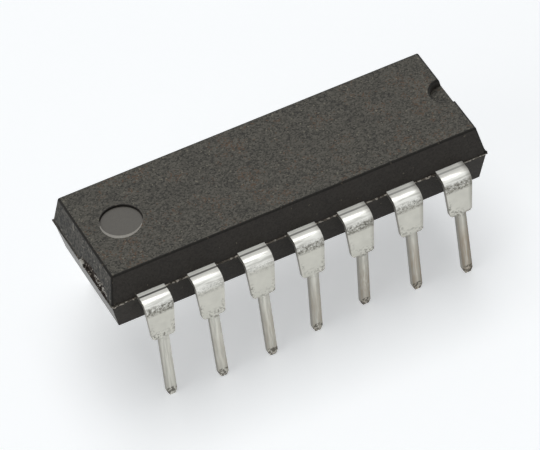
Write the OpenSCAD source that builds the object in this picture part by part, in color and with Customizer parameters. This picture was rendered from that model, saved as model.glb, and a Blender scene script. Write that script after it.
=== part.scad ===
// Dual in-line package with fourteen leads, millimetres.
// The origin is the centre of the lead pattern on the seating plane, where the wide lead shoulders end.
// +X runs towards the notched end, +Z up. Leads 1 to 7 stand on the +Y side from the notch onwards, and
// leads 8 to 14 come back along the -Y side.

/* [Moulded body] */
// Distance from the last lead's centre line to the body's end, at the parting line
end_overhang = 1.95; // [1.6:0.05:2.6]
// Width of the body at the parting line
body_width = 6.45; // [5.3:0.05:7.8]
// Height of the upper half, from the parting plane to the top face
upper_height = 1.54; // [1.2:0.02:2]
// Height of the lower half, from the parting plane to the underside
lower_height = 1.66; // [1.2:0.02:2]
// Draft of the mould on every side, in degrees
draft_angle = 10.5; // [5:0.5:14]
// Thickness of the flash line round the parting plane
flash_thickness = 0.05; // [0.03:0.01:0.1]
// How far the flash line stands out of the sides
flash_reach = 0.04; // [0.02:0.01:0.08]

/* [Marks of the mould] */
// Radius of the half-round notch at the first lead's end
notch_radius = 0.8; // [0.6:0.05:1]
// Depth of the notch below the top face
notch_depth = 0.42; // [0.2:0.02:0.5]
// Diameter of the ejector dimple in the top face
dimple_diameter = 1.95; // [1.4:0.05:2.4]
// Depth of the ejector dimple
dimple_depth = 0.12; // [0.06:0.02:0.24]
// Distance from the plain end of the top face to the dimple's centre
dimple_inset = 1.92; // [1.6:0.02:2.4]
// Distance from the middle line to the dimple's centre, positive towards leads 1 to 7
dimple_offset = 0.14; // [-0.2:0.02:0.2]
// Diameter of the two ejector marks in the underside
ejector_diameter = 1.5; // [1:0.05:2]
// Depth of the ejector marks in the underside
ejector_depth = 0.06; // [0.03:0.01:0.12]
// Distance from each end of the underside to its ejector mark's centre
ejector_inset = 3.1; // [2.4:0.1:4]
// Width of the gate scar on the plain end
gate_width = 2.95; // [1.8:0.05:3.2]
// Height of the gate scar above the parting plane
gate_height = 0.54; // [0.3:0.02:0.7]
// Depth of the gate scar at the parting plane
gate_depth = 0.16; // [0.08:0.02:0.24]

/* [Lead frame] */
// Distance between neighbouring leads
pitch = 2.54; // [2:0.01:3.1]
// Thickness of the lead frame's sheet
frame_thickness = 0.26; // [0.2:0.01:0.32]
// Width of a lead where it leaves the body
lead_width = 1.38; // [1.1:0.02:1.7]
// Width of the shoulder just above the seating plane
foot_width = 1.14; // [0.9:0.02:1.38]
// Cut across the shoulder's lower corners
foot_chamfer = 0.11; // [0.05:0.01:0.2]
// Distance from the body's side to the lead's outer face
shoulder_reach = 0.93; // [0.7:0.01:1.2]
// Inner radius of the bend in a lead
bend_radius = 0.24; // [0.15:0.01:0.35]
// Height of the underside above the seating plane
standoff = 0.49; // [0.3:0.01:0.7]
// Width of the pin below the shoulder
pin_width = 0.5; // [0.36:0.02:0.62]
// Length of the pin below the seating plane
pin_length = 3.75; // [2.9:0.05:4.5]
// Width left at the pin's tip
tip_width = 0.26; // [0.16:0.02:0.34]
// Length of the taper at the pin's tip
tip_taper = 0.24; // [0.1:0.02:0.4]

/* [Lead frame inside the body] */
// Depth of the wide root of a lead inside the body
root_depth = 0.9; // [0.7:0.05:1.1]
// Diameter of the hole in each root that the epoxy grips
lock_diameter = 0.46; // [0.3:0.02:0.6]
// Width of the fingers that run to the die pad
finger_width = 0.36; // [0.26:0.02:0.44]
// Gap between the die pad and the fingers' ends
finger_gap = 0.38; // [0.26:0.02:0.5]
// Margin of the die pad round the die
pad_margin = 0.34; // [0.2:0.02:0.5]
// How far the die pad is pressed below the fingers
pad_downset = 0.2; // [0.12:0.02:0.4]
// Width of the two tie bars that carry the die pad
tie_bar_width = 0.36; // [0.24:0.02:0.46]
// Length of each tie bar's slope
tie_slope = 0.5; // [0.3:0.05:0.8]
// How far each trimmed tie bar stands out of the body's end
tie_stub = 0.06; // [0.03:0.01:0.15]

/* [Die and wires] */
// Length of the silicon die
die_length = 2; // [1.5:0.05:2.5]
// Width of the silicon die
die_width = 1.5; // [1.2:0.05:1.9]
// Thickness of the silicon die
die_thickness = 0.3; // [0.2:0.01:0.4]
// Thickness of the die-attach layer
attach_thickness = 0.03; // [0.02:0.005:0.05]
// Margin of the die-attach layer round the die
attach_margin = 0.08; // [0.04:0.01:0.15]
// Distance from the die's edge to the centres of its bond pads
bond_inset = 0.1; // [0.07:0.01:0.2]
// Diameter of a bond wire
wire_diameter = 0.03; // [0.025:0.005:0.05]
// Height of a wire's loop over the line between its ends
loop_height = 0.34; // [0.2:0.02:0.5]
// Diameter of the ball that joins a wire to the die
ball_diameter = 0.09; // [0.06:0.01:0.12]
// Height of that ball
ball_height = 0.04; // [0.03:0.01:0.06]
// Diameter of the stitch that joins a wire to its finger
stitch_diameter = 0.12; // [0.08:0.01:0.18]
// Height of the stitch
stitch_height = 0.015; // [0.01:0.005:0.03]
// Distance from a finger's end to its stitch
stitch_inset = 0.16; // [0.1:0.02:0.3]

/* [Hidden] */
leads_per_side = 7;
lead_count = 2 * leads_per_side;

// Outward lean of each pin below its shoulder, in degrees, from lead 1 to lead 14
pin_lean_angles = [1.5, 1.5, 1.5, 1.5, 1.5, 1.5, 1.5, 1, 4, 3.5, -1.5, -7, -1.5, 2.5];
// Lean of each pin towards +X, in degrees
pin_sway_angles = [0, 0, 0, 0, 0, 0, 0, 0, 0, 0, -1, 1, 1, 0.5];
// Where the fingers end round the die pad, from the outermost lead to the middle one,
// as shares of the track that runs round the pad
finger_end_shares = [[1, 0.41], [1, 0.82], [0.5, 1], [0, 1]];

// Outline of the gate scar from the tie bar on, as shares of its width and of its height
gate_outline_shares = [[0, 0], [0, 0.55], [0.35, 1], [0.75, 0.85], [1, 0]];

parting_z = lower_height + standoff;
lead_top = parting_z + frame_thickness / 2;
lead_bottom = parting_z - frame_thickness / 2;
end_x = (leads_per_side - 1) / 2 * pitch + end_overhang;
side_y = body_width / 2;
top_z = parting_z + upper_height;
upper_draft = upper_height * tan(draft_angle);
lower_draft = lower_height * tan(draft_angle);

outer_face_y = side_y + shoulder_reach;
inner_face_y = outer_face_y - frame_thickness;
outer_bend_radius = bend_radius + frame_thickness;
bend_y = outer_face_y - outer_bend_radius;
bend_z = lead_top - outer_bend_radius;
root_y = side_y - root_depth;
lock_y = side_y - root_depth / 2;

pad_length = die_length + 2 * pad_margin;
pad_width = die_width + 2 * pad_margin;
pad_top = lead_top - pad_downset;
pad_bottom = pad_top - frame_thickness;
attach_top = pad_top + attach_thickness;
die_top = attach_top + die_thickness;
track_x = pad_length / 2 + finger_gap;
track_y = pad_width / 2 + finger_gap;

// Reach of the blocks that cut a shape off at a plane, past every piece
past = 2 * (end_x + outer_face_y);
round_faces = 96;

function two_digits(n) = str(n < 10 ? "0" : "", n);
function lead_name(n) = str("lead_", two_digits(n));
function wire_name(n) = str("bond_wire_", two_digits(n));

// Leads 1 to 7 are on the +Y side, and the others on the -Y side
function lead_side(n) = n <= leads_per_side ? 1 : -1;
// Place of a lead along its row, counted from the middle and positive towards the notch
function row_place(n) =
    lead_side(n) * ((leads_per_side + 1) / 2 - (n <= leads_per_side ? n : n - leads_per_side));
function lead_x(n) = row_place(n) * pitch;

// Where a finger ends, in the quarter with positive X and Y
function end_share(n) = finger_end_shares[leads_per_side - (leads_per_side + 1) / 2 - abs(row_place(n))];
function finger_end(n) = [
    sign(row_place(n)) * end_share(n)[0] * track_x,
    end_share(n)[1] * track_y
];
function unit(v) = v / norm(v);
function finger_start(n) = [lead_x(n), root_y];
function finger_run(n) = unit(finger_end(n) - finger_start(n));
function left_of(v) = [-v[1], v[0]];

// Bond pad on the die that faces a finger's end, and the stitch on that finger
function bond_share(n) =
    let (tip = finger_end(n))
    let (along = tip[0] == 0 ? 1 : (die_length / 2 - bond_inset) / abs(tip[0]))
    min(along, (die_width / 2 - bond_inset) / tip[1]);
function bond_pad(n) = finger_end(n) * bond_share(n);
function stitch_spot(n) = finger_end(n) - finger_run(n) * stitch_inset;

// Turns a shape made for the +Y side to the side of lead n
module on_side_of(n) {
    mirror([0, lead_side(n) > 0 ? 0 : 1, 0]) children();
}

// Draws a profile in Y and Z and runs it along X, centred
module along_x(length) {
    rotate([90, 0, 90]) linear_extrude(height = length, center = true) children();
}

// Draws a profile in X and Z and runs it from y to y + depth
module along_y(y, depth) {
    translate([0, y + depth, 0]) rotate([90, 0, 0]) linear_extrude(height = depth) children();
}

// Section of the body, with the widest place at the parting plane
module drafted_section(half_width) {
    polygon([
        [half_width, parting_z],
        [half_width - upper_draft, top_z],
        [upper_draft - half_width, top_z],
        [-half_width, parting_z],
        [lower_draft - half_width, standoff],
        [half_width - lower_draft, standoff]
    ]);
}

module moulded_block() {
    intersection() {
        along_x(past) drafted_section(side_y);
        along_y(-past / 2, past) drafted_section(end_x);
    }
}

module flash_line() {
    translate([0, 0, parting_z])
        cube([2 * (end_x + flash_reach), 2 * (side_y + flash_reach), flash_thickness], center = true);
}

module notch() {
    translate([end_x - upper_draft, 0, top_z - notch_depth])
        cylinder(r = notch_radius, h = upper_height, $fn = round_faces);
}

module dimple() {
    translate([upper_draft + dimple_inset - end_x, dimple_offset, top_z - dimple_depth])
        cylinder(d = dimple_diameter, h = upper_height, $fn = round_faces);
}

module ejector_marks() {
    for (end = [-1, 1])
        translate([end * (end_x - lower_draft - ejector_inset), 0, 0])
            cylinder(d = ejector_diameter, h = standoff + ejector_depth, $fn = round_faces);
}

// The gate breaks a wedge out of the upper half from the tie bar on, on the -Y half of the plain end
module gate_scar() {
    start_y = tie_bar_width / 2;
    intersection() {
        along_y(start_y - gate_width, gate_width)
            polygon([
                [-end_x - gate_depth, parting_z],
                [gate_depth - end_x, parting_z],
                [upper_draft - end_x, parting_z + gate_height],
                [-end_x - gate_depth, parting_z + gate_height]
            ]);
        along_x(past)
            polygon([
                for (share = gate_outline_shares)
                    [start_y - share[0] * gate_width, parting_z + share[1] * gate_height]
            ]);
    }
}

module moulded_form() {
    difference() {
        union() {
            moulded_block();
            flash_line();
        }
        notch();
        dimple();
        ejector_marks();
        gate_scar();
    }
}

// The epoxy fills the mould round the lead frame, the die and the wires
module body() {
    color("#45423e")
        difference() {
            moulded_form();
            die_pad();
            die_attach();
            die();
            for (n = [1 : lead_count]) {
                lead(n);
                bond_wire(n);
            }
        }
}

// Lead seen from its side: a flat out of the body, the bend, the shoulder and the leaning pin
module lead_side_profile(n) {
    translate([root_y, lead_bottom]) square([bend_y - root_y, frame_thickness]);
    intersection() {
        translate([bend_y, bend_z]) difference() {
            circle(r = outer_bend_radius, $fn = round_faces);
            circle(r = bend_radius, $fn = round_faces);
        }
        translate([bend_y, bend_z]) square(outer_bend_radius);
    }
    translate([inner_face_y, 0]) square([frame_thickness, bend_z]);
    // The pin turns about the shoulder's foot, on the face that it leans to
    lean = pin_lean_angles[n - 1];
    translate([lean > 0 ? inner_face_y : outer_face_y, 0])
        rotate(lean)
            translate([lean > 0 ? 0 : -frame_thickness, -pin_length])
                square([frame_thickness, pin_length + frame_thickness / 2]);
}

// Lead seen from the front: full width to the bend's end, a tapering shoulder, then the pin
module lead_front_profile(n) {
    half_lead = lead_width / 2;
    half_foot = foot_width / 2;
    polygon([
        [-half_lead, lead_top + frame_thickness],
        [-half_lead, bend_z],
        [-half_foot, foot_chamfer],
        [foot_chamfer - half_foot, 0],
        [half_foot - foot_chamfer, 0],
        [half_foot, foot_chamfer],
        [half_lead, bend_z],
        [half_lead, lead_top + frame_thickness]
    ]);
    rotate(pin_sway_angles[n - 1])
        polygon([
            [-pin_width / 2, foot_chamfer],
            [-pin_width / 2, tip_taper - pin_length],
            [-tip_width / 2, -pin_length],
            [tip_width / 2, -pin_length],
            [pin_width / 2, tip_taper - pin_length],
            [pin_width / 2, foot_chamfer]
        ]);
}

module formed_lead(n) {
    translate([lead_x(n), 0, 0])
        intersection() {
            along_x(2 * lead_width) lead_side_profile(n);
            along_y(0, 2 * outer_face_y) lead_front_profile(n);
        }
}

// Finger of the lead frame, from the wide root to the die pad
module finger(n) {
    half_width = left_of(finger_run(n)) * finger_width / 2;
    neck = finger_start(n) - [0, finger_width / 2];
    outline = [
        [lead_x(n) - lead_width / 2, root_y],
        [lead_x(n) + lead_width / 2, root_y],
        neck + half_width,
        finger_end(n) + half_width,
        finger_end(n) - half_width,
        neck - half_width
    ];
    translate([0, 0, lead_bottom]) linear_extrude(height = frame_thickness) polygon(outline);
}

module lead(n) {
    color("#c6c7c4")
        on_side_of(n)
            difference() {
                union() {
                    formed_lead(n);
                    finger(n);
                }
                translate([lead_x(n), lock_y, lead_bottom - frame_thickness])
                    cylinder(d = lock_diameter, h = 3 * frame_thickness, $fn = round_faces);
            }
}

// Die pad, pressed below the fingers, with the tie bar to each end of the body
module die_pad() {
    color("#bcbbb6") {
        translate([-pad_length / 2, -pad_width / 2, pad_bottom])
            cube([pad_length, pad_width, frame_thickness]);
        for (end = [0, 1]) mirror([end, 0, 0]) tie_bar();
    }
}

module tie_bar() {
    pad_end = pad_length / 2;
    slope_end = pad_end + tie_slope;
    bar_end = end_x + tie_stub;
    along_y(-tie_bar_width / 2, tie_bar_width)
        polygon([
            [pad_end, pad_top],
            [slope_end, lead_top],
            [bar_end, lead_top],
            [bar_end, lead_bottom],
            [slope_end, lead_bottom],
            [pad_end, pad_bottom]
        ]);
}

module die_attach() {
    color("#8f9296")
        translate([-die_length / 2 - attach_margin, -die_width / 2 - attach_margin, pad_top])
            cube([die_length + 2 * attach_margin, die_width + 2 * attach_margin, attach_thickness]);
}

module die() {
    color("#4c5058")
        translate([-die_length / 2, -die_width / 2, attach_top])
            cube([die_length, die_width, die_thickness]);
}

// A wire rises from its ball on the die, loops over and comes down to its stitch on the finger
module bond_wire(n) {
    start = bond_pad(n);
    run = stitch_spot(n) - start;
    start_z = die_top + ball_height / 2;
    drop = start_z - lead_top;
    chord = norm([run[0], run[1], drop]);
    loop_radius = (pow(chord / 2, 2) + pow(loop_height, 2)) / (2 * loop_height);
    half_angle = acos((loop_radius - loop_height) / loop_radius);
    color("#d9b45a")
        on_side_of(n) {
            translate([start[0], start[1], die_top])
                cylinder(d = ball_diameter, h = ball_height, $fn = round_faces);
            translate([start[0] + run[0], start[1] + run[1], lead_top])
                cylinder(d = stitch_diameter, h = stitch_height, $fn = round_faces);
            difference() {
                translate([start[0], start[1], start_z])
                    rotate([90, 0, atan2(run[1], run[0])])
                        rotate(-asin(drop / chord))
                            translate([chord / 2, loop_height - loop_radius, 0])
                                rotate(90 - half_angle)
                                    rotate_extrude(angle = 2 * half_angle, $fn = round_faces)
                                        translate([loop_radius, 0])
                                            circle(d = wire_diameter, $fn = round_faces);
                translate([-past / 2, -past / 2, lead_top - past]) cube([past, past, past]);
            }
        }
}

body();
die_pad();
die_attach();
die();
for (n = [1 : lead_count]) {
    lead(n);
    bond_wire(n);
}
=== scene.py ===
# %% [markdown]
# A chip in a dual in-line package: a block of moulded black epoxy with two rows of bent, tinned leads.
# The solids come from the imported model, at their real size and in their real places. This lesson gives
# each of them its finish and adds what is too fine for the solids: rounded edges, broken flash on the
# parting line, the torn gate. The first lines load the frame that everything else is placed in.

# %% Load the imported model
import math
import random

import bmesh
import bpy
from mathutils import Euler, Matrix, Vector, noise


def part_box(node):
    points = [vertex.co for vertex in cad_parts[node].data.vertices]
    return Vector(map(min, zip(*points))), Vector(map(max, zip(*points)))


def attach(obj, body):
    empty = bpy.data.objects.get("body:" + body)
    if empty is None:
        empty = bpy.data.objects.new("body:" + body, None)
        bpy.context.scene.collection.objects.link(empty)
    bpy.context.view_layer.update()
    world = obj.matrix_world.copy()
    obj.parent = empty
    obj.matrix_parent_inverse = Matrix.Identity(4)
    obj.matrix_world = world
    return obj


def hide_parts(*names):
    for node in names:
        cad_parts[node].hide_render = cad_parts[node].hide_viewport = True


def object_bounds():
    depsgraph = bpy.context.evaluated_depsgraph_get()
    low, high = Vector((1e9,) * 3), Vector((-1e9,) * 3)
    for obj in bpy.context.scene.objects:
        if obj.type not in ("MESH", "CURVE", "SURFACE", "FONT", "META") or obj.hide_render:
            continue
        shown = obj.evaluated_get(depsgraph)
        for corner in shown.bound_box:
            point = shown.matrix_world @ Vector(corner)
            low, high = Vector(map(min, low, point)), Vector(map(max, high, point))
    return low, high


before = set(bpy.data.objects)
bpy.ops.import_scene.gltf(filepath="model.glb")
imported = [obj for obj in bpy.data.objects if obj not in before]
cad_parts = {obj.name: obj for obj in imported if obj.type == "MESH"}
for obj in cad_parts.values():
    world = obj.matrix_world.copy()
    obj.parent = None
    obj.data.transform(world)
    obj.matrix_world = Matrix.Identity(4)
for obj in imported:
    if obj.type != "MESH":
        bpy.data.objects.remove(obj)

cad_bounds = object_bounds()
print("CAD box in mm:", [[round(v * 1000, 3) for v in corner] for corner in cad_bounds])

# %% [markdown]
# Blender works in metres and a chip is measured in millimetres, so every size below is written in
# millimetres and multiplied by MM. These are the sizes of the moulded block: where the two halves of its
# mould meet, how far its sides lean, and how far the thin flange of flash stands out of them.

# %% Sizes of the body
MM = 0.001
body_low, body_high = (Vector(corner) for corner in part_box("body"))
LOWER_HALF = 1.66 * MM
PARTING_Z = body_low.z + LOWER_HALF
TOP_Z = body_high.z
UNDERSIDE_Z = body_low.z
DRAFT = math.tan(math.radians(10.5))
FLASH_REACH = 0.04 * MM
END_X = body_high.x - FLASH_REACH
SIDE_Y = body_high.y - FLASH_REACH
print("parting plane at", round(PARTING_Z / MM, 3), "mm, body", round(2 * END_X / MM, 2), "mm long")

# %% [markdown]
# The camera stands where the photographer's did: in front and to the left, looking down at 45 degrees
# through a long lens from about 24 cm. A long lens keeps the sides of the package nearly parallel. The
# chip lies a little turned in the picture, which is a roll of the camera about its own axis.

# %% Camera
AIM = Vector((-0.648, -1.07, 0.902)) * MM
DISTANCE = 237.0 * MM
AZIMUTH = math.radians(-21.24)
ELEVATION = math.radians(44.95)
ROLL = math.radians(6.956)
LENS_MM = 343.4
SENSOR_MM = 36
NEAREST_SEEN = 10 * MM

view_from = Vector((
    math.sin(AZIMUTH) * math.cos(ELEVATION),
    -math.cos(AZIMUTH) * math.cos(ELEVATION),
    math.sin(ELEVATION),
))
camera_data = bpy.data.cameras.new("photo_camera")
camera_data.lens = LENS_MM
camera_data.sensor_width = SENSOR_MM
camera_data.clip_start = NEAREST_SEEN
camera = bpy.data.objects.new("photo_camera", camera_data)
bpy.context.scene.collection.objects.link(camera)
look = (-view_from).to_track_quat("-Z", "Y").to_matrix()
turn = Matrix.Rotation(-ROLL, 3, "Z")
camera.matrix_world = Matrix.Translation(AIM + view_from * DISTANCE) @ (look @ turn).to_4x4()
bpy.context.scene.camera = camera
print("camera at", [round(v / MM, 1) for v in camera.matrix_world.translation])

# %% [markdown]
# A finish is a tree of nodes, and writing each link by hand makes a script long. A few helpers keep it
# short. They turn the hex code of a colour into the linear values that Blender computes with, add a node
# and feed its inputs, multiply masks, which are 1 where a mark shows and 0 elsewhere, and lay marks over
# a colour, as dirt lies on a surface.

# %% Helpers for colours, nodes and masks
def linear(code):
    """The linear colour of an sRGB hex code such as #45423e."""
    channels = [int(code[i:i + 2], 16) / 255 for i in (1, 3, 5)]
    return [c / 12.92 if c <= 0.04045 else ((c + 0.055) / 1.055) ** 2.4 for c in channels] + [1]


def feed(node, inputs):
    """Gives each named input a value, a socket, or the first live output of another node."""
    for name, source in inputs.items():
        if isinstance(source, bpy.types.Node):
            source = next(socket for socket in source.outputs if socket.enabled)
        if isinstance(source, bpy.types.NodeSocket):
            node.id_data.links.new(source, node.inputs[name])
        else:
            node.inputs[name].default_value = source


def add_node(tree, kind, settings=None, inputs=None):
    """Adds a node with its settings, and feeds its inputs."""
    made = tree.nodes.new(kind)
    for name, value in (settings or {}).items():
        setattr(made, name, value)
    feed(made, inputs or {})
    return made


def mask(tree, *parts):
    """The product of its parts: levels, or (value, low, high) for a fade from 0 at low to 1 at high."""
    product = None
    for part in parts:
        if isinstance(part, tuple):
            value, low, high = part
            part = add_node(tree, "ShaderNodeMapRange", None,
                            {"Value": value, "From Min": low, "From Max": high})
        product = part if product is None else add_node(
            tree, "ShaderNodeMath", {"operation": "MULTIPLY"}, {0: product, 1: part})
    return product


def between(value, low, high, soft):
    """The two fades of a band from low to high, with borders as wide as soft."""
    return (value, low - soft, low), (value, high + soft, high)


def covered(tree, colour, *marks):
    """The colour under marks, laid on in turn. A mark is a hex code and the parts of its mask."""
    for code, *parts in marks:
        colour = add_node(tree, "ShaderNodeMix", {"data_type": "RGBA"},
                          {"Factor": mask(tree, *parts), 6: colour, 7: linear(code)})
    return colour


print("black epoxy in linear values:", [round(v, 3) for v in linear("#45423e")])

# %% [markdown]
# The package stands on the tips of its pins on a pale, plain table. The light is that of a small product
# studio: a bright room all round, one broad lamp overhead and a weaker one from the left. The room is
# white to the camera and in reflections, but lights the object more gently, so that the black epoxy
# keeps its colour while the tinned leads still mirror something bright.

# %% Room
ROOM_LIGHT = 0.16
ROOM_SEEN = 0.95

world = bpy.data.worlds.new("studio_room")
world.use_nodes = True
bpy.context.scene.world = world
room = world.node_tree
room.nodes.clear()
path = add_node(room, "ShaderNodeLightPath")
mirrored = add_node(room, "ShaderNodeMath", {"operation": "MAXIMUM"},
                    {0: path.outputs["Is Glossy Ray"], 1: path.outputs["Is Transmission Ray"]})
seen = add_node(room, "ShaderNodeMath", {"operation": "MAXIMUM"},
                {0: path.outputs["Is Camera Ray"], 1: mirrored})
strength = add_node(room, "ShaderNodeMapRange", None,
                    {"Value": seen, "To Min": ROOM_LIGHT, "To Max": ROOM_SEEN})
background = add_node(room, "ShaderNodeBackground", None,
                      {"Color": linear("#f6f8fa"), "Strength": strength})
add_node(room, "ShaderNodeOutputWorld", None, {"Surface": background})
bpy.context.scene.view_settings.view_transform = "Standard"
print("the room is seen", round(ROOM_SEEN / ROOM_LIGHT, 1), "times as bright as it lights")

# %% [markdown]
# The table is a sheet of white acrylic with a lamp under it. Its smooth face spreads the light evenly,
# and its own glow keeps the shadows between the leads pale. A plane is enough for it, because the edges
# are never seen.

# %% Light table
TABLE_SIZE = 0.6
TABLE_ROUGHNESS = 0.35
TABLE_GLOW = 0.47

table_material = bpy.data.materials.new("white_acrylic_light_table")
table_material.use_nodes = True
feed(table_material.node_tree.nodes["Principled BSDF"], {
    "Base Color": linear("#e9ebec"),
    "Roughness": TABLE_ROUGHNESS,
    "Emission Color": linear("#f4f6f8"),
    "Emission Strength": TABLE_GLOW,
})
table_mesh = bpy.data.meshes.new("table")
sheet = bmesh.new()
bmesh.ops.create_grid(sheet, x_segments=1, y_segments=1, size=TABLE_SIZE / 2)
sheet.to_mesh(table_mesh)
sheet.free()
table_mesh.materials.append(table_material)
table = bpy.data.objects.new("table", table_mesh)
table.location.z = cad_bounds[0][2]
bpy.context.scene.collection.objects.link(table)
print("table at", round(table.location.z / MM, 3), "mm")

# %% [markdown]
# The lamps are broad squares of light close to the chip, as softboxes are, so the shadows have no hard
# border and the round bends of the leads show one wide, bright band instead of a point.

# %% Lamps
def soft_lamp(name, watts, size, place):
    """A square area lamp at place, in metres, aimed at the chip."""
    lamp = bpy.data.lights.new(name, "AREA")
    lamp.energy = watts
    lamp.size = size
    holder = bpy.data.objects.new(name, lamp)
    holder.location = place
    holder.rotation_euler = (-Vector(place)).to_track_quat("-Z", "Y").to_euler()
    bpy.context.scene.collection.objects.link(holder)
    print(name, "hangs", round(Vector(place).length, 2), "m from the chip")


soft_lamp("overhead_lamp", watts=0.86, size=0.35, place=(0.01, 0.12, 0.40))
soft_lamp("left_lamp", watts=0.25, size=0.30, place=(-0.35, -0.15, 0.22))

# %% [markdown]
# The epoxy is a thermoset filled with ground silica and a little carbon black. Out of the mould it is a
# dull brown black, because the mould's spark-eroded walls leave a fine grain on it: every small cell of
# the pattern gets its own shade. Larger grains of filler show as pale specks, and a trace of the mould's
# release wax as rusty ones. The real grain is about 0.02 mm, finer than the picture can show, so it is
# drawn coarser, mostly at 0.07 mm. One recipe serves every finish of the body. It takes two tones, the
# size of the grain, how much the cells differ, how many specks there are, and how rough the skin is.

# %% Recipe for an epoxy finish
PATCH = 1.8 * MM
PATCH_SHARE = 0.8
WAXY_FROM = 0.49
WAXY_TO = 0.62
RUSTY = "#5e4c3e"
RELIEF_STRENGTH = 0.6


def new_finish(name):
    """A new material with its tree, its shader, and the place of each point on the object."""
    material = bpy.data.materials.new(name)
    material.use_nodes = True
    tree = material.node_tree
    place = add_node(tree, "ShaderNodeTexCoord").outputs["Object"]
    return material, tree, tree.nodes["Principled BSDF"], place


def moulded_epoxy(name, dark, light, grain_mm=0.07, rough=0.6, bump_mm=0.02, gloss=0.25,
                  specks=0.1, speck_colour="#8f8675", rust=0.0, contrast=1.0):
    """Black filled epoxy: a grain of cells in two tones, rusty specks, pale specks, a matt skin."""
    material, tree, shader, place = new_finish(name)
    patches = add_node(tree, "ShaderNodeTexNoise", None,
                       {"Vector": place, "Scale": 1 / PATCH, "Detail": 3.0, "Roughness": 0.6})
    cells = add_node(tree, "ShaderNodeTexVoronoi", None,
                     {"Vector": place, "Scale": 1 / (grain_mm * MM)})
    chances = add_node(tree, "ShaderNodeSeparateColor", None, {"Color": cells.outputs["Color"]})

    # A cell's shade is its own chance plus a share of the patch that it lies in, spread round the middle.
    share = PATCH_SHARE / contrast
    middle = 0.5 + 0.5 * share
    tone = add_node(tree, "ShaderNodeMath", {"operation": "MULTIPLY_ADD"},
                    {0: patches, 1: share, 2: chances.outputs["Red"]})
    wax = add_node(tree, "ShaderNodeMapRange", None,
                   {"Value": patches, "From Min": WAXY_FROM, "From Max": WAXY_TO, "To Max": rust})
    rusty_cell = add_node(tree, "ShaderNodeMath", {"operation": "LESS_THAN"},
                          {0: chances.outputs["Green"], 1: wax})
    pale_cell = add_node(tree, "ShaderNodeMath", {"operation": "LESS_THAN"},
                         {0: chances.outputs["Blue"], 1: specks})
    colour = covered(tree, linear(dark), (light, (tone, middle - share, middle + share)),
                     (RUSTY, rusty_cell), (speck_colour, pale_cell))

    relief = add_node(tree, "ShaderNodeBump", None,
                      {"Height": chances.outputs["Red"], "Distance": bump_mm * MM,
                       "Strength": RELIEF_STRENGTH})
    feed(shader, {"Base Color": colour, "Normal": relief, "Roughness": rough,
                  "Specular IOR Level": gloss})
    return material


# %% Finishes of the body
EPOXY_FINISHES = [
    # The top copies an eroded wall of the mould: matt and grainy, a warm grey with rusty patches.
    moulded_epoxy("epoxy_top_spark_eroded", "#1e1d1a", "#6e6b62", rust=0.2, specks=0.008,
                  speck_colour="#837e70", contrast=1.3),
    # The long sides slide out of the mould, which rubs them smooth: even and dark, hardly a speck.
    moulded_epoxy("epoxy_side_drawn_smooth", "#292623", "#3f3b36", bump_mm=0.005, gloss=0.2,
                  specks=0.002, speck_colour="#5b554b"),
    # The ends keep a coarser grain: black hollows between grey grains, with pale filler here and there.
    moulded_epoxy("epoxy_end_spark_eroded", "#0b0a09", "#54514a", grain_mm=0.1, bump_mm=0.04,
                  specks=0.03, speck_colour="#77736a", contrast=1.9),
    # Under the parting line the grain is rubbed flat by handling, so it shines a little; its paler tone
    # is a painted sheen.
    moulded_epoxy("epoxy_lower_end_rubbed_painted_sheen", "#1b1917", "#67635b", rough=0.42, gloss=1.0,
                  specks=0.06, speck_colour="#7f7b71"),
    # A polished pin of the mould presses the dimple: one even, paler grey with a soft shine.
    moulded_epoxy("epoxy_dimple_pressed_smooth", "#64615b", "#6e6b65", grain_mm=0.05, rough=0.4,
                  bump_mm=0.001, specks=0.0),
    # Edges, the dimple's walls and the ends of the flash are near black: painted shade that draws a thin
    # dark line.
    moulded_epoxy("epoxy_edge_dark_painted_shade", "#151412", "#2a2723", rough=0.5, bump_mm=0.004,
                  gloss=0.15, specks=0.02, speck_colour="#4c463d"),
    # Epoxy that was squeezed up beside the dimple's pin is polished, and its pale colour is a painted
    # highlight.
    moulded_epoxy("epoxy_lip_painted_highlight", "#95918a", "#aba79d", rough=0.3, bump_mm=0.002,
                  gloss=0.4, specks=0.0),
    # Flash is thinner than a hair, so light gets into it: pale, with each grain of filler showing.
    moulded_epoxy("epoxy_flash_thin_and_pale", "#3a352f", "#857c70", grain_mm=0.12, bump_mm=0.03,
                  specks=0.35, speck_colour="#c9c2b6"),
    # Broken epoxy has no skin: dead matt, near black, with bright broken grains in it.
    moulded_epoxy("epoxy_torn_at_the_gate", "#191715", "#463d36", rough=0.8, bump_mm=0.06,
                  specks=0.08, speck_colour="#b8b0a3"),
]
TOP, SIDE, END, LOWER_END_SHEEN, DIMPLE, EDGE_DARK_SHADE, LIP_HIGHLIGHT, FLASH, TORN = range(len(EPOXY_FINISHES))
print("epoxy finishes:", [finish.name for finish in EPOXY_FINISHES])

# %% [markdown]
# The body's solid is right, but its edges are perfectly sharp, and no moulding has such edges. A copy of
# the solid's mesh is merged into one skin and its flat triangles are joined, so that a bevel finds whole
# edges to round. A Weighted Normal modifier then shades large faces flat right up to their small bevels.

# %% Helpers for copies of solids
WELD = 0.0002 * MM
SAME_PLANE = math.radians(0.5)


def merged_copy(node):
    """A bmesh of a CAD node's mesh, with its loose triangles welded and flat ones joined."""
    made = bmesh.new()
    made.from_mesh(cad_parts[node].data)
    bmesh.ops.remove_doubles(made, verts=made.verts, dist=WELD)
    bmesh.ops.dissolve_limit(made, angle_limit=SAME_PLANE, verts=made.verts,
                             edges=made.edges, delimit={"NORMAL"})
    return made


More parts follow.
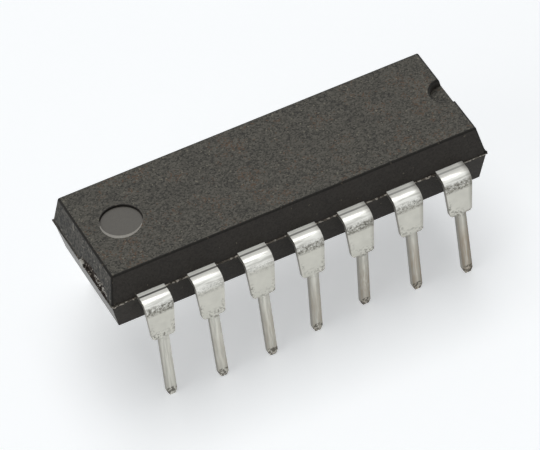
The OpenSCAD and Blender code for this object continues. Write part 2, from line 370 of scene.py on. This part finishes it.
def make_piece(name, made, materials, smooth_angle=math.radians(35)):
    """Turns a bmesh into a piece that rides on the package. Folds above smooth_angle stay sharp."""
    for face in made.faces:
        face.smooth = True
    for edge in made.edges:
        edge.smooth = len(edge.link_faces) == 2 and edge.calc_face_angle(0) < smooth_angle
    mesh = bpy.data.meshes.new(name)
    made.to_mesh(mesh)
    made.free()
    for material in materials:
        mesh.materials.append(material)
    piece = bpy.data.objects.new(name, mesh)
    bpy.context.scene.collection.objects.link(piece)
    evener = piece.modifiers.new("even_normals", "WEIGHTED_NORMAL")
    evener.keep_sharp = True
    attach(piece, "root")
    print(name, "has", len(mesh.polygons), "faces")
    return piece


# %% [markdown]
# The round dimple near the plain end is the print of a round pin in the mould. Its rim is rounded by
# 0.045 mm, and on the near side the epoxy was squeezed into a lip, 0.2 mm wide. The lip needs no shape of
# its own: the outer points of the rim's bevel are moved away from the dimple, most where it is widest.

# %% Body with the dimple's rim
DIMPLE_X = -END_X + (TOP_Z - PARTING_Z) * DRAFT + 1.92 * MM
DIMPLE_Y = 0.14 * MM
DIMPLE_RADIUS = 0.975 * MM
RIM_ROUND = 0.045 * MM
LIP_WIDTH = 0.2 * MM
LIP_SIDE = Vector((-0.44, -0.9))
FOLD = math.radians(20)
FLAT_TOLERANCE = 0.002 * MM


def at_top(point):
    return abs(point.z - TOP_Z) < FLAT_TOLERANCE


def from_dimple(point):
    return math.hypot(point.x - DIMPLE_X, point.y - DIMPLE_Y)


def lip_side_share(point):
    """1 where the dimple's rim was squeezed up most, falling to 0 a quarter turn away from there."""
    outward = Vector((point.x - DIMPLE_X, point.y - DIMPLE_Y)).normalized()
    return max(0, outward.dot(LIP_SIDE))


def is_folded(edge):
    return len(edge.link_faces) == 2 and edge.calc_face_angle(0) > FOLD


def is_rim(edge):
    """Whether an edge is part of the dimple's rim."""
    return is_folded(edge) and all(
        at_top(v.co) and from_dimple(v.co) < DIMPLE_RADIUS + FLAT_TOLERANCE for v in edge.verts)


def rounded_off(target, edges, width):
    """Bevels the edges in three steps and gives back the new faces."""
    made = bmesh.ops.bevel(target, geom=edges, offset=width, offset_type="OFFSET", segments=3,
                           profile=0.5, affect="EDGES", material=-1, clamp_overlap=True)
    return set(made["faces"])


body = merged_copy("body")
rim_faces = rounded_off(body, [e for e in body.edges if is_rim(e)], RIM_ROUND)
for v in {v for face in rim_faces for v in face.verts}:
    if at_top(v.co) and from_dimple(v.co) > DIMPLE_RADIUS:
        v.co += lip_side_share(v.co) * (LIP_WIDTH - RIM_ROUND) * LIP_SIDE.to_3d()
print("faces of the dimple's rim:", len(rim_faces))

# %% [markdown]
# The edges of the top and of the notch are rounded by 0.085 mm, those of the lower half are crisper, with
# 0.035 mm, so there is one bevel for each. An edge is chosen by where it lies on the drafted block, not
# by its number, so the choice holds if the solid is packed again. The pockets round the leads are left
# out and keep their exact shape.

# %% Rounded edges of the block
EDGE_ROUND = 0.085 * MM
LOWER_ROUND = 0.035 * MM


def on_block_edge(point):
    """Whether a point lies where two outer faces of the drafted block meet, off the parting line."""
    rise = abs(point.z - PARTING_Z)
    off_side = abs(SIDE_Y - rise * DRAFT - abs(point.y))
    off_end = abs(END_X - rise * DRAFT - abs(point.x))
    off_flat = min(abs(point.z - TOP_Z), abs(point.z - UNDERSIDE_Z))
    return sorted([off_side, off_end, off_flat])[1] < FLAT_TOLERANCE


def is_block_edge(edge):
    first, second = (v.co for v in edge.verts)
    both_on_block = on_block_edge(first) and on_block_edge(second)
    return is_folded(edge) and not is_rim(edge) and (
        both_on_block or (at_top(first) and at_top(second)))


upper = [e for e in body.edges if is_block_edge(e) and max(v.co.z for v in e.verts) > PARTING_Z]
bevel_faces = rounded_off(body, upper, EDGE_ROUND)
lower = [e for e in body.edges if is_block_edge(e) and max(v.co.z for v in e.verts) < PARTING_Z]
bevel_faces |= rounded_off(body, lower, LOWER_ROUND)
print("faces of the block's bevels:", len(bevel_faces))

# %% [markdown]
# One mesh carries all nine finishes of the epoxy, each face with the number of its own. A face knows its
# finish from where it lies and which way it looks: the top and the underside are grainy, the drawn sides
# smooth, the ends rough, the lower ends paler with a painted sheen, the bevels near black with painted
# shade, and the hollow of the gate torn.

# %% Finish of each face of the body
GATE_START_Y = 0.18 * MM
GATE_WIDTH = 2.95 * MM
GATE_HEIGHT = 0.54 * MM
GATE_SHALLOWEST = 0.01 * MM
GATE_DEEPEST = 0.3 * MM
DIMPLE_DEEPEST = 0.2 * MM
SQUEEZED_FROM = 0.3
FACING = 0.75


def in_gate(point):
    """Whether a point lies in the hollow of the gate, behind the skin of the plain end."""
    share = (GATE_START_Y - point.y) / GATE_WIDTH
    rise = point.z - PARTING_Z
    behind_skin = point.x + END_X - rise * DRAFT
    return (0 <= share <= 1 and -FLAT_TOLERANCE < rise < GATE_HEIGHT + FLAT_TOLERANCE
            and GATE_SHALLOWEST < behind_skin < GATE_DEEPEST)


def finish_of_body_face(face):
    centre, normal = face.calc_center_median(), face.normal
    # On the dimple's rim the lip is painted pale as a highlight, and the far side near black as shade.
    if face in rim_faces:
        squeezed = lip_side_share(centre)
        return LIP_HIGHLIGHT if squeezed > SQUEEZED_FROM else DIMPLE if squeezed > 0 else EDGE_DARK_SHADE
    # Bevels are painted near black, as shade along the edges.
    if face in bevel_faces:
        return EDGE_DARK_SHADE
    if in_gate(centre):
        return TORN
    if abs(centre.z - PARTING_Z) < FLASH_REACH and abs(centre.y) > SIDE_Y:
        return FLASH
    # Flash on the ends is painted near black, as the shade beneath it.
    if abs(centre.z - PARTING_Z) < FLASH_REACH and abs(centre.x) > END_X:
        return EDGE_DARK_SHADE
    below_top = TOP_Z - centre.z
    # The dimple's floor keeps its pale finish; its walls are painted near black, as the shade inside it.
    if from_dimple(centre) < DIMPLE_RADIUS and FLAT_TOLERANCE < below_top < DIMPLE_DEEPEST:
        return DIMPLE if normal.z > FACING else EDGE_DARK_SHADE
    if abs(normal.x) > FACING:
        # Below the parting line the ends get the paler finish, partly a painted sheen.
        return END if centre.z > PARTING_Z else LOWER_END_SHEEN
    return TOP if abs(normal.z) > FACING else SIDE


for face in body.faces:
    face.material_index = finish_of_body_face(face)
body_piece = make_piece("moulded_body", body, EPOXY_FINISHES)
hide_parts("body")

# %% [markdown]
# Where the two halves of the mould meet, a film of epoxy squeezes out and sets as flash. It is so thin
# that it looks pale, and it breaks off unevenly when the leads are trimmed. Each stretch between two
# leads is cut here into short ragged scraps: their outer edge follows a noise, and where the noise is
# low nothing is left. A scrap is an outline in the parting plane, given a thickness by an extrusion.

# %% Ragged scraps of flash
SCRAP_STEP = 0.05 * MM
SCRAP_THICKNESS = 0.022 * MM
SCRAP_ROOT = 0.03 * MM
SCRAP_REACH = 0.14 * MM
SHORTEST_REACH = 0.008 * MM
NICK = 0.13 * MM
BREAK = 0.7 * MM
BREAK_SHARE = 0.6


def scrap(target, outer, place_on_plane):
    """A thin scrap with its outer edge through `outer`, pairs of way along the line and reach."""
    outline = [(outer[0][0], -SCRAP_ROOT)] + outer + [(outer[-1][0], -SCRAP_ROOT)]
    low = PARTING_Z - SCRAP_THICKNESS / 2
    corners = [target.verts.new((*place_on_plane(along, reach), low)) for along, reach in outline]
    film = target.faces.new(corners)
    raised = bmesh.ops.extrude_face_region(target, geom=[film], use_keep_orig=True)
    lifted = [item for item in raised["geom"] if isinstance(item, bmesh.types.BMVert)]
    bmesh.ops.translate(target, verts=lifted, vec=(0, 0, SCRAP_THICKNESS))


def ragged_line(target, start, stop, most, place_on_plane, seed, cover):
    """Scraps of flash from start to stop along a line, none of them reaching further than most."""
    outer = []
    steps = int((stop - start) / SCRAP_STEP)
    for step in range(steps + 1):
        along = start + (stop - start) * step / steps
        height = noise.noise(Vector((along / NICK, seed, 0)))
        height += BREAK_SHARE * noise.noise(Vector((along / BREAK, seed, 5)))
        reach = min(most, (height + cover) * SCRAP_REACH)
        if reach > SHORTEST_REACH:
            outer.append((along, reach))
            continue
        if len(outer) > 1:
            scrap(target, outer, place_on_plane)
        outer = []
    if len(outer) > 1:
        scrap(target, outer, place_on_plane)


# %% Stretches between the leads
PITCH = 2.54 * MM
LEADS_PER_SIDE = 7
LEAD_WIDTH = 1.38 * MM


def lead_x(place):
    """X of a lead by its place along the row, counted from the plain end."""
    return (place - (LEADS_PER_SIDE - 1) / 2) * PITCH


borders = [-END_X]
for place in range(LEADS_PER_SIDE):
    borders += [lead_x(place) - LEAD_WIDTH / 2, lead_x(place) + LEAD_WIDTH / 2]
borders.append(END_X)
row_gaps = list(zip(borders[::2], borders[1::2]))
print("stretches on each side, in mm:", [round((stop - start) / MM, 2) for start, stop in row_gaps])

# %% [markdown]
# At the near left corner the flash is whole and stands out in two humps, like a curl. At the near right
# corner it ends in a round knob of epoxy. On the notched end it is only a narrow line, with a gap for the
# tie bar in the middle. The plain end gets no scraps, because the runner was broken off there.

# %% Flash round the parting line
SIDE_MOST = 0.1 * MM
END_MOST = 0.055 * MM
THIN_COVER = 0.12
CORNER_COVER = 0.5
CURL = [(0.0, 0.05), (0.08, 0.15), (0.16, 0.12), (0.24, 0.04), (0.3, 0.11), (0.38, 0.09), (0.42, 0.02)]
TIE_BAR_CLEARANCE = 0.24 * MM
KNOB_RADIUS = 0.085 * MM
KNOB_PLACE = Vector((END_X - 0.03 * MM, 0.02 * MM - SIDE_Y, PARTING_Z + 0.06 * MM))

flash = bmesh.new()
for side in (-1, 1):
    for start, stop in row_gaps:
        cover = CORNER_COVER if start == -END_X else THIN_COVER
        ragged_line(flash, start, stop, SIDE_MOST, lambda x, out: (x, side * (SIDE_Y + out)),
                    seed=side * 3.7, cover=cover)
corner_curl = [(along * MM - END_X, reach * MM) for along, reach in CURL]
scrap(flash, corner_curl, lambda x, out: (x, -SIDE_Y - out))
for start, stop in ((-SIDE_Y, -TIE_BAR_CLEARANCE), (TIE_BAR_CLEARANCE, SIDE_Y)):
    ragged_line(flash, start, stop, END_MOST, lambda y, out: (END_X + out, y),
                seed=8.3, cover=THIN_COVER)
knob = bmesh.ops.create_icosphere(flash, subdivisions=2, radius=KNOB_RADIUS,
                                  matrix=Matrix.Translation(KNOB_PLACE))
for face in {face for v in knob["verts"] for face in v.link_faces}:
    face.material_index = 1
bmesh.ops.recalc_face_normals(flash, faces=flash.faces)
flash_finishes = [EPOXY_FINISHES[FLASH], EPOXY_FINISHES[EDGE_DARK_SHADE]]
make_piece("flash_scraps", flash, flash_finishes, smooth_angle=math.radians(20))

# %% [markdown]
# The epoxy enters the mould through a gate at the plain end, beside the tie bar. When the runner is
# snapped off, it tears a shallow hollow just above the parting line, dark and crumbly, with pale chips
# of filler in it. The hollow is in the solid. Its torn floor is a grid, pushed about by a noise of coarse
# lumps with finer crumbs on them, and given a thickness that closes it at the back inside the body.

# %% Torn floor of the gate
GATE_TOP = [(0, 0.55), (0.35, 1), (0.75, 0.85), (1, 0)]
GATE_COLUMNS = 100
GATE_ROWS = 16
GATE_SPAN = 0.99
LUMP_WIDTH = 0.3 * MM
LUMP_HEIGHT = 0.2 * MM
CRUMB_WIDTH = 0.1 * MM
CRUMB_HEIGHT = 0.08 * MM
TEAR_DEPTH = 0.09
SHALLOWER_AT_TOP = 0.06
LUMP_DEPTH = 0.07
CRUMB_DEPTH = 0.06
STANDS_OUT = 0.03 * MM
FLOOR_THICKNESS = 0.15 * MM


def gate_top(share):
    """Height of the hollow at a share of its width, from the straight pieces of its outline."""
    for (start, low), (stop, high) in zip(GATE_TOP, GATE_TOP[1:]):
        if share <= stop:
            return GATE_HEIGHT * (low + (high - low) * (share - start) / (stop - start))


def torn_point(share, rise_share):
    """A point of the torn floor: shallow at the hollow's top, deeper at the parting line."""
    y = GATE_START_Y - share * GATE_WIDTH
    rise = rise_share * gate_top(share)
    lump = noise.noise(Vector((y / LUMP_WIDTH, rise / LUMP_HEIGHT, 1)))
    crumb = noise.noise(Vector((y / CRUMB_WIDTH, rise / CRUMB_HEIGHT, 2)))
    depth = TEAR_DEPTH - SHALLOWER_AT_TOP * rise_share + LUMP_DEPTH * lump + CRUMB_DEPTH * crumb
    depth *= MM
    return Vector((max(-END_X - STANDS_OUT, -END_X + rise * DRAFT + depth), y, PARTING_Z + rise))


torn = bmesh.new()
bmesh.ops.create_grid(torn, x_segments=GATE_COLUMNS, y_segments=GATE_ROWS, size=0.5)
for v in torn.verts:
    v.co = torn_point(GATE_SPAN * (v.co.x + 0.5), v.co.y + 0.5)
torn.normal_update()
bmesh.ops.solidify(torn, geom=torn.faces[:], thickness=FLOOR_THICKNESS)
bmesh.ops.recalc_face_normals(torn, faces=torn.faces)
print("torn floor from x =", [round(ends(v.co.x for v in torn.verts) / MM, 2) for ends in (min, max)])
make_piece("torn_gate_floor", torn, [EPOXY_FINISHES[TORN]], smooth_angle=math.radians(25))

# %% [markdown]
# The chips are grains of filler and crumbs of epoxy that the tear left standing. Each is a coarse
# icosphere, turned at random and then stretched, so that it looks broken. Most of them sit on the torn
# floor, a few on the skin where the hollow runs out, and one tall splinter stands at its start.

# %% Pale chips left in the gate
# Freshly broken filler is nearly white and sparkles, the brightest thing on the plain end.
PALE_CHIP = moulded_epoxy("broken_filler_pale", "#98928a", "#dcd7ce", grain_mm=0.04, specks=0.2,
                          speck_colour="#ebe8e1")
FLOOR_CHIPS = 14
SKIN_CHIPS = [(0.8, 0.28), (0.84, 0.36), (0.89, 0.27), (0.95, 0.2)]
CHIP_LIFT = 0.02 * MM
chips = bmesh.new()
random.seed(14)


def add_chip(place, radius, stretch):
    """A lump, turned at random and then stretched along x, y and z."""
    turn = Euler([random.uniform(0, math.tau) for _ in range(3)]).to_matrix().to_4x4()
    shape = Matrix.Diagonal((*stretch, 1))
    bmesh.ops.create_icosphere(chips, subdivisions=1, radius=radius,
                               matrix=Matrix.Translation(place) @ shape @ turn)


for _ in range(FLOOR_CHIPS):
    place = torn_point(random.uniform(0.5, 0.88), random.uniform(0.15, 0.85))
    place.x = max(place.x - CHIP_LIFT, -END_X)
    radius = random.uniform(0.03, 0.055) * MM
    add_chip(place, radius, (0.7, random.uniform(0.6, 1), random.uniform(1.2, 2.6)))
for share, rise in SKIN_CHIPS:
    skin_x = rise * DRAFT * MM - END_X
    skin = Vector((skin_x, GATE_START_Y - share * GATE_WIDTH, PARTING_Z + rise * MM))
    add_chip(skin, random.uniform(0.03, 0.045) * MM, (0.5, 2.2, 1.3))
add_chip(torn_point(0.02, 0.6) - Vector((CHIP_LIFT, 0, 0)), 0.05 * MM, (0.5, 0.6, 3.6))
make_piece("gate_chips", chips, [PALE_CHIP], smooth_angle=math.radians(10))

# %% [markdown]
# The leads are stamped from sheet, bent, and plated with tin. A lead leaves the body flat, bends down
# over a round shoulder, and narrows at its foot into the pin. All marks on the tin keep to the same
# heights on every lead, because one tool forms the whole row, so the material reads Object coordinates.

# %% Sizes of the leads
SHEET = 0.26 * MM
SHOULDER_REACH = 0.93 * MM
BEND_RADIUS = 0.5 * MM
PIN_LENGTH = 3.75 * MM
LEAD_TOP_Z = PARTING_Z + SHEET / 2
BEND_START_Y = SIDE_Y + SHOULDER_REACH - BEND_RADIUS
BEND_END_Z = LEAD_TOP_Z - BEND_RADIUS
print("leads bend from y =", round(BEND_START_Y / MM, 2), "to z =", round(BEND_END_Z / MM, 2), "mm")

# %% [markdown]
# Heights alone would give straight bands, so noises break the marks up. Clouds are the uneven plating.
# Crumbs and grit are the spots that handling leaves, drawn coarser than the tin's own crystals, which
# are too fine to show. Creases are drawn out along the fold, streaks and fibres down the pin. Two more
# values come from the mesh: how far a point lies across its lead, and how worn that lead is.

# %% Patterns and places on the tin
# Each pattern has its size in mm, its detail, and its scale along x, y and z: less than 1 draws it out.
TIN_PATTERNS = {
    "clouds": (0.55, 4.0, (1, 1, 1)),
    "crumbs": (0.13, 3.0, (1, 1, 1)),
    "grit": (0.06, 2.0, (1, 1, 1)),
    "creases": (0.12, 3.0, (0.12, 1, 1)),
    "streaks": (0.11, 3.0, (1, 1, 0.06)),
    "fibres": (0.05, 2.0, (1, 1, 0.06)),
}


def tin_patterns(tree, place):
    """The noises that break up the marks, by their names."""
    made = {}
    for name, (size_mm, detail, scale) in TIN_PATTERNS.items():
        drawn_out = add_node(tree, "ShaderNodeMapping", None, {"Vector": place, "Scale": scale})
        made[name] = add_node(tree, "ShaderNodeTexNoise", None,
                              {"Vector": drawn_out, "Scale": 1 / (size_mm * MM), "Detail": detail})
    return made


def places_on_lead(tree, place):
    """Where a point lies on its lead, and how worn that is. Across counts in half widths of a pin."""
    axes = add_node(tree, "ShaderNodeSeparateXYZ", None, {"Vector": place})
    across = add_node(tree, "ShaderNodeAttribute", {"attribute_name": "across"}).outputs["Fac"]
    wear = add_node(tree, "ShaderNodeAttribute", {"attribute_name": "wear"}).outputs["Fac"]
    outward = add_node(tree, "ShaderNodeMath", {"operation": "ABSOLUTE"}, {0: axes.outputs["Y"]})
    off_middle = add_node(tree, "ShaderNodeMath", {"operation": "ABSOLUTE"}, {0: across})
    return {"row": axes.outputs["X"], "outward": outward, "height": axes.outputs["Z"],
            "across": across, "off_middle": off_middle, "wear": wear}


print("patterns of the tin:", list(TIN_PATTERNS))

# %% [markdown]
# The marks are lists of a colour and the parts of its mask, from the deepest to the topmost. First the
# tin itself: clouded grey, creased by the bend and lightened there by a painted highlight, and palest on
# the flat, which is painted light. Then the pins: painted shade on their margins, as if they were round,
# fresh and white near the plain end of the row, older and yellowed towards the notch. Last the dark
# marks:
# a dark line on the flat that is a painted reflection of the body, a scuffed band under the bend, smudged
# feet, painted shade on the margins towards the notch, and tips marked by a socket.

# %% Marks on the tin
def bend_marks(tree, at, patterns, flat):
    """Plating, painted highlight on the bend and painted light on the flat."""
    bent = mask(tree, *between(at["height"], BEND_END_Z + 0.1 * MM, TOP_Z, 0.2 * MM))
    return [
        ("#d9d7cd", patterns["clouds"]),
        # Painted highlight: the bend is lightened where it shines.
        ("#efeee7", bent),
        ("#b5b3ab", bent, (patterns["creases"], 0.45, 0.65), 0.7),
        # Painted light: the flat is made near white against the shade of the body.
        ("#f8f7f1", flat, 0.8),
    ]


def pin_marks(tree, at, patterns):
    """Newer and older pins, with painted shade on their margins, streaks and yellowed lower parts."""
    pins = mask(tree, *between(at["height"], -2 * PIN_LENGTH, 0.0, 0.12 * MM))
    shaded_margins = mask(tree, pins, (at["off_middle"], 0.1, 0.9), (at["row"], -2 * END_X, END_X))
    newer = mask(tree, pins, (at["row"], END_X, -END_X))
    older = mask(tree, pins, (at["row"], -END_X, END_X))
    low_down = (at["height"], -0.2 * MM, -1.7 * MM)
    return [
        ("#e4e3da", newer, 0.6),
        # Painted shade: the margins of each pin are darker, as if it were round.
        ("#b4b2a9", shaded_margins),
        ("#96938a", pins, (patterns["streaks"], 0.42, 0.62), 0.4),
        ("#a08d77", older, low_down, (patterns["fibres"], 0.3, 0.6), 0.75),
        # Painted shade, darker and browner on the margins of the older pins.
        ("#6f675c", older, shaded_margins, 0.7),
    ]


def dark_marks(tree, at, patterns, flat):
    """Painted reflection line, worn band, smudged foot, painted shade on a margin and marked tip."""
    crumbs = patterns["crumbs"]
    body_reflection_line = between(at["outward"], SIDE_Y + 0.21 * MM, SIDE_Y + 0.27 * MM, 0.04 * MM)
    worn_band = between(at["height"], BEND_END_Z - 0.14 * MM, BEND_END_Z + 0.16 * MM, 0.16 * MM)
    tip = between(at["height"], -2 * PIN_LENGTH, 0.45 * MM - PIN_LENGTH, 0.06 * MM)
    worn = mask(tree, *worn_band, at["wear"], (crumbs, 0.3, 0.6))
    foot = mask(tree, *between(at["height"], 0.03 * MM, 0.22 * MM, 0.3 * MM))
    rims = mask(tree, *between(at["height"], 0.0, 0.7 * MM, 0.4 * MM), (at["off_middle"], 1.5, 2.3))
    smudged = add_node(tree, "ShaderNodeMath", {"operation": "MAXIMUM"}, {0: foot, 1: rims})
    return [
        # Painted reflection of the body: a dark line across the flat.
        ("#37352f", flat, (at["row"], 2 * END_X, -END_X), *body_reflection_line),
        ("#817e74", worn, 0.85),
        ("#3f3c35", worn, (patterns["grit"], 0.47, 0.56), 0.8),
        ("#5d5a51", smudged, (crumbs, 0.49, 0.57), (patterns["clouds"], 0.38, 0.55), 0.75),
        # Painted shade on the margins towards the notch.
        ("#77746b", (at["across"], 1.7, 2.7), (at["row"], -0.6 * END_X, END_X), 0.75),
        ("#4a453d", *tip, (crumbs, 0.47, 0.55), 0.8),
    ]


# %% Matt tin plate
def tin_plate():
    """Electroplated matt tin: a soft grey metal that mirrors only broad light, dulled on the flat."""
    material, tree, shader, place = new_finish("matt_tin_plate")
    at = places_on_lead(tree, place)
    patterns = tin_patterns(tree, place)
    flat = mask(tree, *between(at["outward"], 0.0, BEND_START_Y, 0.15 * MM),
                *between(at["height"], LEAD_TOP_Z - 0.05 * MM, TOP_Z, 0.03 * MM))
    colour = covered(tree, linear("#bdbbb2"), *bend_marks(tree, at, patterns, flat),
                     *pin_marks(tree, at, patterns), *dark_marks(tree, at, patterns, flat))
    metallic = add_node(tree, "ShaderNodeMapRange", None,
                        {"Value": flat, "To Min": 0.9, "To Max": 0.5})
    skin = add_node(tree, "ShaderNodeMapRange", None,
                    {"Value": patterns["clouds"], "To Min": 0.28, "To Max": 0.44})
    rough = add_node(tree, "ShaderNodeMath", {"operation": "MULTIPLY_ADD"}, {0: flat, 1: 0.4, 2: skin})
    relief = add_node(tree, "ShaderNodeBump", None,
                      {"Height": patterns["grit"], "Distance": 0.006 * MM,
                       "Strength": RELIEF_STRENGTH})
    feed(shader, {"Base Color": colour, "Metallic": metallic, "Roughness": rough, "Normal": relief})
    return material


# %% [markdown]
# The stamped sides of the sheet show the bare metal through a thin tin, darker than its faces and
# streaked across the thickness by the shear. Two close tones in one pattern are enough for them, and the
# same recipe does for every piece inside the body.

# %% Finish of the sheared edges
def two_tone(name, base, second, size_mm, metallic, smooth, rough, scale=(1, 1, 1)):
    """Two close tones in one noise, which also goes between a smoother and a rougher skin."""
    material, tree, shader, place = new_finish(name)
    drawn_out = add_node(tree, "ShaderNodeMapping", None, {"Vector": place, "Scale": scale})
    pattern = add_node(tree, "ShaderNodeTexNoise", None,
                       {"Vector": drawn_out, "Scale": 1 / (size_mm * MM), "Detail": 3.0})
    skin = add_node(tree, "ShaderNodeMapRange", None,
                    {"Value": pattern, "To Min": smooth, "To Max": rough})
    feed(shader, {"Base Color": covered(tree, linear(base), (second, pattern)),
                  "Roughness": skin, "Metallic": metallic})
    return material


LEAD_FINISHES = [
    tin_plate(),
    two_tone("sheared_edge_under_thin_tin", "#88847c", "#b5b1a9", 0.3, 0.9, 0.35, 0.55, (1, 1, 6)),
]
print("finishes of a lead:", [finish.name for finish in LEAD_FINISHES])

# %% [markdown]
# Plating fills a sheared corner and rounds it by a few hundredths of a millimetre, which gives each lead
# its thin bright outline. Only the edges outside the body are softened, because inside it the solid fits
# its pocket exactly. The attributes are kept on the mesh, so the marks follow each pin where it leans.

# %% Leads with softened edges
LEAD_EDGE = 0.03 * MM
STAMPED_FOLD = math.radians(25)
HALF_PIN = 0.25 * MM
TIP_LENGTH = 0.3 * MM
# How strong the worn band is on each lead of a side, from the plain end to the notched one.
WEAR_OF_LEADS = [1.0, 0.35, 0.3, 0.9, 1.0, 0.75, 1.0]


def softened_lead(node):
    """A copy of a lead with the stamped edges outside the body softened."""
    lead = merged_copy(node)
    stamped = [
        e for e in lead.edges
        if len(e.link_faces) == 2 and e.calc_face_angle(0) > STAMPED_FOLD
        and max(abs(v.co.y) for v in e.verts) > SIDE_Y + LEAD_EDGE
    ]
    softened = bmesh.ops.bevel(lead, geom=stamped, offset=LEAD_EDGE, offset_type="OFFSET", segments=2,
                               profile=0.5, affect="EDGES", material=-1, clamp_overlap=True)
    edges = set(softened["faces"])
    for face in lead.faces:
        face.material_index = 1 if abs(face.normal.x) > FACING and face not in edges else 0
    return lead


def mark_lead(mesh, row_x, worn_by):
    """Keeps how worn a lead is, and how far each point lies from the middle of the leaning pin."""
    tips = [v.co.x for v in mesh.vertices if v.co.z < TIP_LENGTH - PIN_LENGTH]
    lean = (sum(tips) / len(tips) - row_x) / PIN_LENGTH
    across = mesh.attributes.new("across", "FLOAT", "POINT")
    wear = mesh.attributes.new("wear", "FLOAT", "POINT")
    for v in mesh.vertices:
        middle = row_x + lean * max(0, -v.co.z)
        across.data[v.index].value = (v.co.x - middle) / HALF_PIN
        wear.data[v.index].value = worn_by


for number in range(1, 2 * LEADS_PER_SIDE + 1):
    node = f"lead_{number:02d}"
    lead_piece = make_piece(f"tinned_{node}", softened_lead(node), LEAD_FINISHES)
    place = LEADS_PER_SIDE - number if number <= LEADS_PER_SIDE else number - LEADS_PER_SIDE - 1
    mark_lead(lead_piece.data, lead_x(place), WEAR_OF_LEADS[place])
    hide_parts(node)

# %% [markdown]
# Inside the epoxy, out of sight, lie the bare nickel-iron die pad of the lead frame, a layer of silver
# filled adhesive, the silicon die and the gold wires. Their solids stay as they are and only get their
# own finishes, so that the model is right when somebody hides the body.

# %% Finishes of the inner pieces
INNER_FINISHES = {
    # Rolled alloy: a plain grey metal with faint bands.
    "die_pad": two_tone("rolled_nickel_iron_alloy", "#8f8d86", "#aba9a2", 0.2, 1.0, 0.4, 0.52),
    # Cured paste full of silver flakes: a pale grey that is neither dull nor bright.
    "die_attach": two_tone("silver_filled_adhesive", "#8e9092", "#a3a5a6", 0.04, 0.3, 0.5, 0.62),
    # Etched silicon: a smooth, cold mirror with a bluish tone from its oxide.
    "die": two_tone("etched_silicon", "#3a3f4a", "#4b5468", 0.08, 0.6, 0.2, 0.32),
}
# Drawn gold: warm and bright, with the fine lines of the drawing die.
GOLD = two_tone("drawn_gold_wire", "#d7a94a", "#e6c06a", 0.03, 1.0, 0.2, 0.32)
for number in range(1, 2 * LEADS_PER_SIDE + 1):
    INNER_FINISHES[f"bond_wire_{number:02d}"] = GOLD
for node, material in INNER_FINISHES.items():
    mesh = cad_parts[node].data
    if not mesh.materials:
        mesh.materials.append(material)
    for index in range(len(mesh.materials)):
        mesh.materials[index] = material
print("inner pieces finished:", len(INNER_FINISHES))
